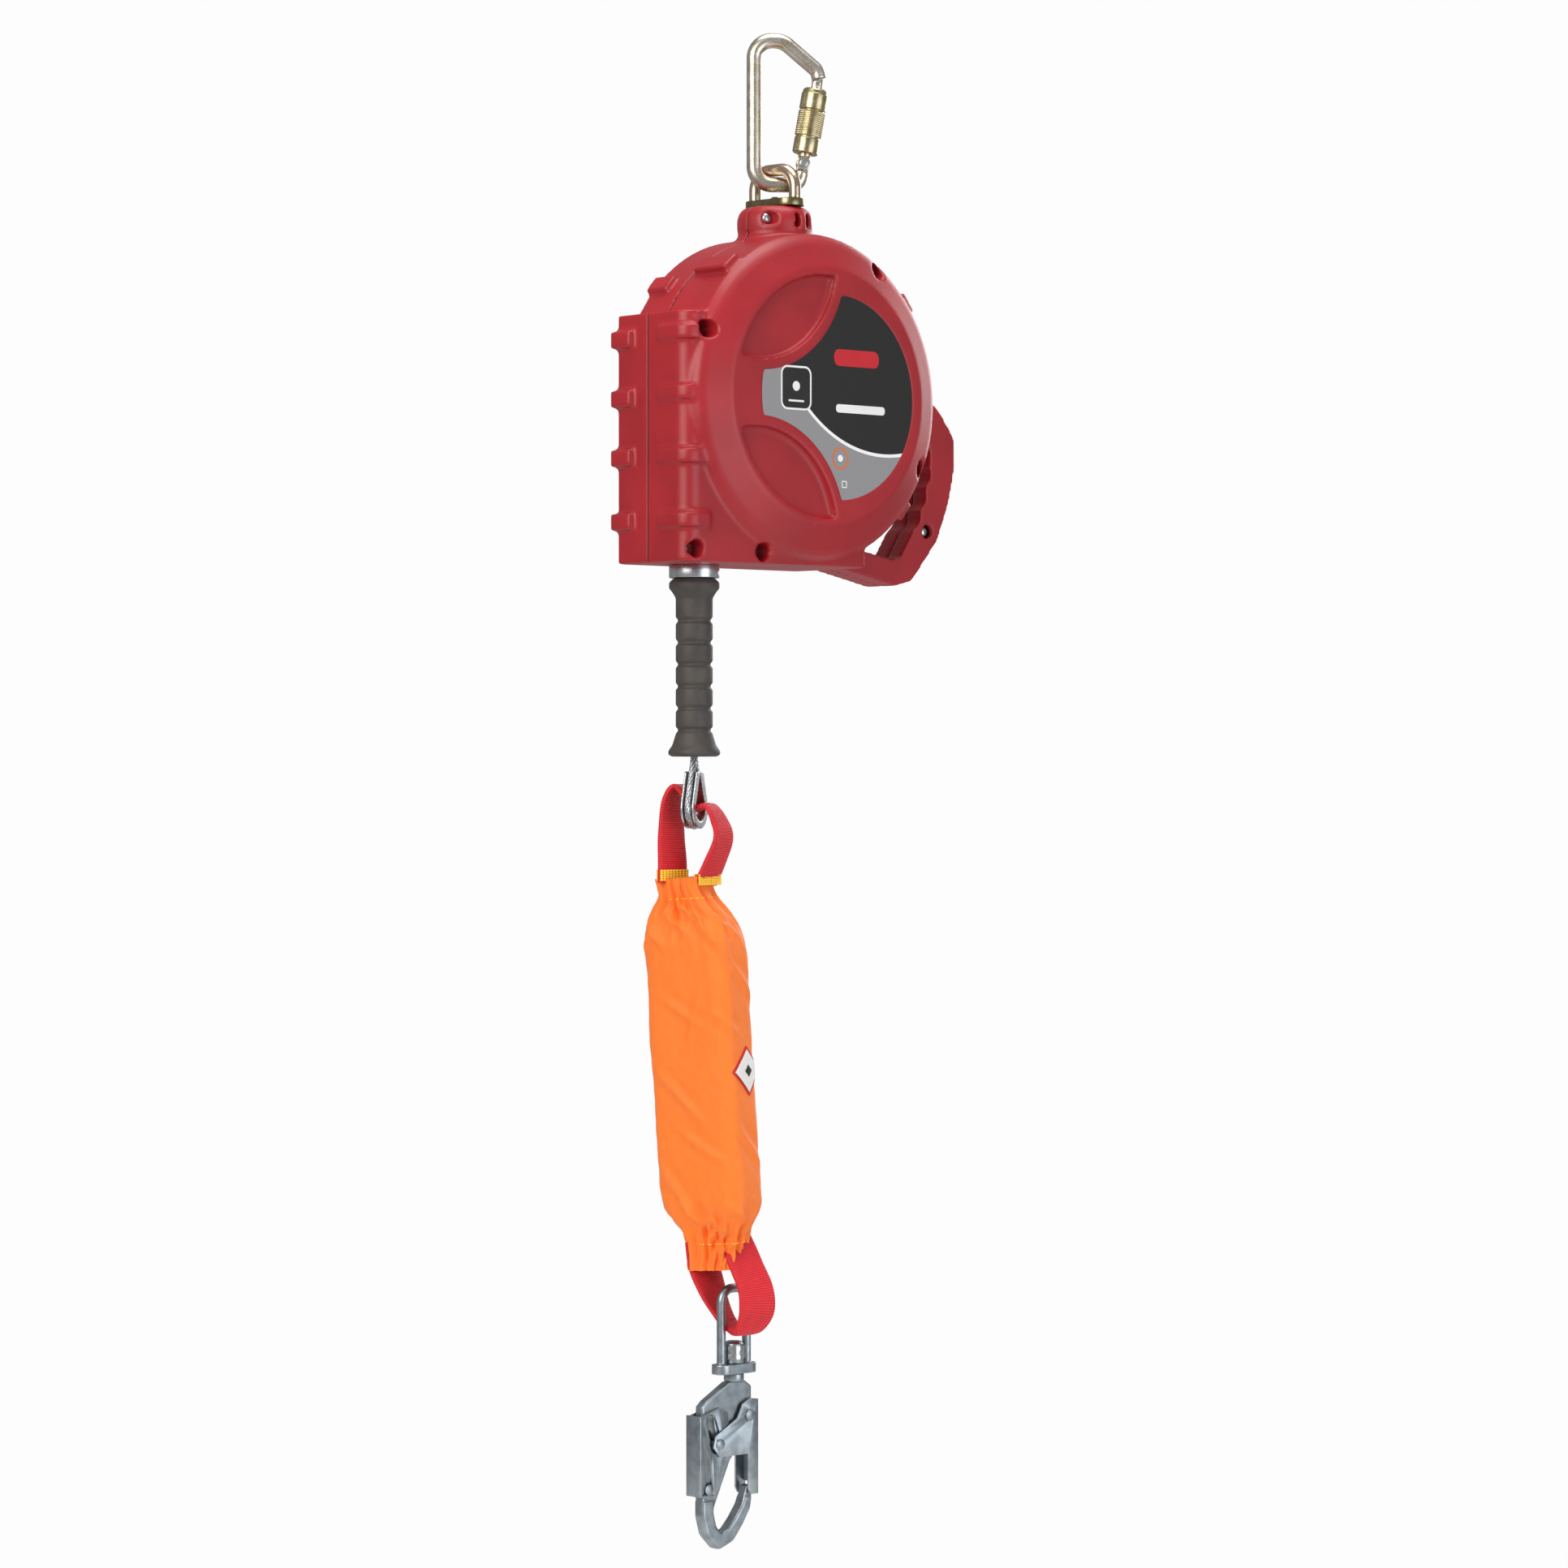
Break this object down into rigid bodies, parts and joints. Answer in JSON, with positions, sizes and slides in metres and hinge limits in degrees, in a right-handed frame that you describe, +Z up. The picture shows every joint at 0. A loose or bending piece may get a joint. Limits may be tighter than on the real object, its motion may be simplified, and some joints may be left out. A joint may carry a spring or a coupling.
{
  "type": "self retracting lifeline",
  "caption": "Overhead fall arrest block: anchor carabiner, swivel eye, moulded drum housing with carry handle, steel rope with rubber grip, webbing shock pack and locking snap hook.",
  "frame": {"origin": "the bearing point on the inside of the carabiner's top bow, where the anchor carries it", "axes": "+Z up along the load line, -Y out of the housing front, +X towards the carry handle, drum axis along Y"},
  "size_m": [0.2945, 0.109, 1.086],
  "materials": {
    "plated_steel": "yellow zinc plated forging",
    "sleeve_brass": "gold zinc plated, knurled",
    "eye_steel": "yellow zinc plated",
    "zinc_steel": "bright zinc plated",
    "hook_steel": "zinc plated forging and pressings",
    "spring_steel": "drawn wire and strip",
    "rope_steel": "galvanised wire rope",
    "aluminium": "cast and turned",
    "bronze": "sintered bushing",
    "copper": "swaged copper",
    "red_plastic": "moulded, fine grain",
    "nylon": "turned nylon",
    "label_film": "printed label film",
    "pale_film": "printed label film",
    "lining": "brake lining",
    "indicator_band": "bright zinc on a turned, perforated steel band",
    "grip_rubber": "moulded rubber",
    "red_webbing": "ribbed polyester webbing",
    "pale_webbing": "tear webbing",
    "orange_fabric": "coated nylon cloth",
    "yellow_thread": "bar tack thread"
  },
  "bodies": {
    "carabiner": {"carabiner_body": "plated_steel", "gate_rivet": "zinc_steel"},
    "gate": {"carabiner_gate": "plated_steel", "latch_pin": "zinc_steel", "gate_spring": "spring_steel", "sleeve_spring": "spring_steel"},
    "sleeve": {"lock_sleeve": "sleeve_brass"},
    "eye": {"swivel_eye": "eye_steel", "swivel_plate": "eye_steel", "swivel_stud": "eye_steel", "swivel_nut": "zinc_steel"},
    "housing": {"swivel_bushing": "bronze", "front_housing": "red_plastic", "rear_housing": "red_plastic", "front_label": "label_film", "rear_label": "pale_film", "housing_screws": "zinc_steel", "neck_screws": "zinc_steel", "outlet_ring": "zinc_steel", "cable_guide": "nylon", "frame_bracket": "zinc_steel", "main_shaft": "zinc_steel", "shaft_nuts": "zinc_steel", "spring_arbor": "zinc_steel", "brake_plate": "aluminium", "friction_rings": "lining", "clamp_ring": "zinc_steel", "brake_screws": "zinc_steel"},
    "brake_ring": {"ratchet_ring": "zinc_steel"},
    "drum": {"cable_drum": "aluminium", "drum_bushings": "bronze", "wound_lifeline": "rope_steel", "spring_cup": "aluminium", "power_spring": "spring_steel", "spring_cover": "aluminium", "pawl_pins": "zinc_steel", "pawl_springs": "spring_steel"},
    "upper_pawl": {"pawl_a": "zinc_steel"},
    "lower_pawl": {"pawl_b": "zinc_steel"},
    "lifeline_end": {"lifeline_cable": "rope_steel", "cable_stop": "aluminium", "grip": "grip_rubber", "ferrule": "copper", "thimble": "zinc_steel"},
    "absorber": {"upper_loop": "red_webbing", "lower_loop": "red_webbing", "tear_pack": "pale_webbing", "absorber_cover": "orange_fabric", "cover_patch": "pale_film", "stitch_bands": "yellow_thread"},
    "hook_link": {"hook_eye": "hook_steel"},
    "hook": {"load_indicator": "indicator_band", "hook_swivel_stud": "hook_steel", "hook_body": "hook_steel", "hook_rivets": "hook_steel", "hook_gate_spring": "spring_steel", "hook_lock_spring": "spring_steel"},
    "hook_lever": {"hook_gate": "hook_steel", "hook_tail_pin": "hook_steel"},
    "hook_thumb": {"hook_lock": "hook_steel"}
  },
  "joints": [
    {"name": "gate_hinge", "type": "hinge", "parent": "carabiner", "child": "gate", "pos_m": [0.0165, -0.01199, -0.0832], "axis": [-0.5878, -0.809, 0], "range_deg": [0, 25], "stiffness_Nm_per_rad": 0.3, "springref_deg": -28.65},
    {"name": "sleeve_twist", "type": "hinge", "parent": "gate", "child": "sleeve", "pos_m": [0.0165, -0.01199, -0.0832], "axis": [0.1391, -0.1011, 0.9851], "range_deg": [0, 90], "stiffness_Nm_per_rad": 0.03, "springref_deg": -22.92},
    {"name": "eye_swing", "type": "hinge", "parent": "carabiner", "child": "eye", "pos_m": [0, 0, -0.0986], "axis": [0.809, -0.5878, 0], "range_deg": [-9, 9]},
    {"name": "housing_swivel", "type": "hinge", "parent": "eye", "child": "housing", "pos_m": [0, 0, -0.1126], "axis": [0, 0, 1], "continuous": true},
    {"name": "brake_slip", "type": "hinge", "parent": "housing", "child": "brake_ring", "pos_m": [0, -0.0255, -0.2553], "axis": [0, 1, 0], "continuous": true},
    {"name": "lifeline_payout", "type": "slide", "parent": "housing", "child": "lifeline_end", "axis": [0, 0, -1], "range_m": [0, 0.1086], "stiffness_N_per_m": 10, "springref_m": -2.5},
    {"name": "drum_spin", "type": "hinge", "parent": "housing", "child": "drum", "pos_m": [0, 0, -0.2553], "axis": [0, -1, 0], "range_deg": [0, 80.2]},
    {"name": "upper_pawl_swing", "type": "hinge", "parent": "drum", "child": "upper_pawl", "pos_m": [0, -0.025, -0.2103], "axis": [0, 1, 0], "range_deg": [0, 14], "stiffness_Nm_per_rad": 0.02, "springref_deg": -17.19},
    {"name": "lower_pawl_swing", "type": "hinge", "parent": "drum", "child": "lower_pawl", "pos_m": [0, -0.025, -0.3003], "axis": [0, 1, 0], "range_deg": [0, 14], "stiffness_Nm_per_rad": 0.02, "springref_deg": -17.19},
    {"name": "absorber_swing", "type": "hinge", "parent": "lifeline_end", "child": "absorber", "pos_m": [-0.0778, 0, -0.5495], "axis": [-0.454, 0.891, 0], "range_deg": [-10, 10]},
    {"name": "hook_link_swing", "type": "hinge", "parent": "absorber", "child": "hook_link", "pos_m": [-0.05698, -0.01902, -0.891], "axis": [1, 0, 0], "range_deg": [-8, 8]},
    {"name": "hook_swivel", "type": "hinge", "parent": "hook_link", "child": "hook", "pos_m": [-0.05698, -0.01902, -0.948], "axis": [0, 0, 1], "continuous": true},
    {"name": "hook_gate_hinge", "type": "hinge", "parent": "hook", "child": "hook_lever", "pos_m": [-0.04828, -0.01902, -0.9815], "axis": [0, 1, 0], "range_deg": [0, 32], "stiffness_Nm_per_rad": 0.1, "springref_deg": -34.38},
    {"name": "hook_lock_press", "type": "hinge", "parent": "hook", "child": "hook_thumb", "pos_m": [-0.08598, -0.01902, -1.0314], "axis": [0, 1, 0], "range_deg": [0, 3.2], "stiffness_Nm_per_rad": 0.5, "springref_deg": -11.46}
  ],
  "couplings": [
    {"joint": "drum_spin", "follows": "lifeline_payout", "rad_per_m": 12.854}
  ]
}
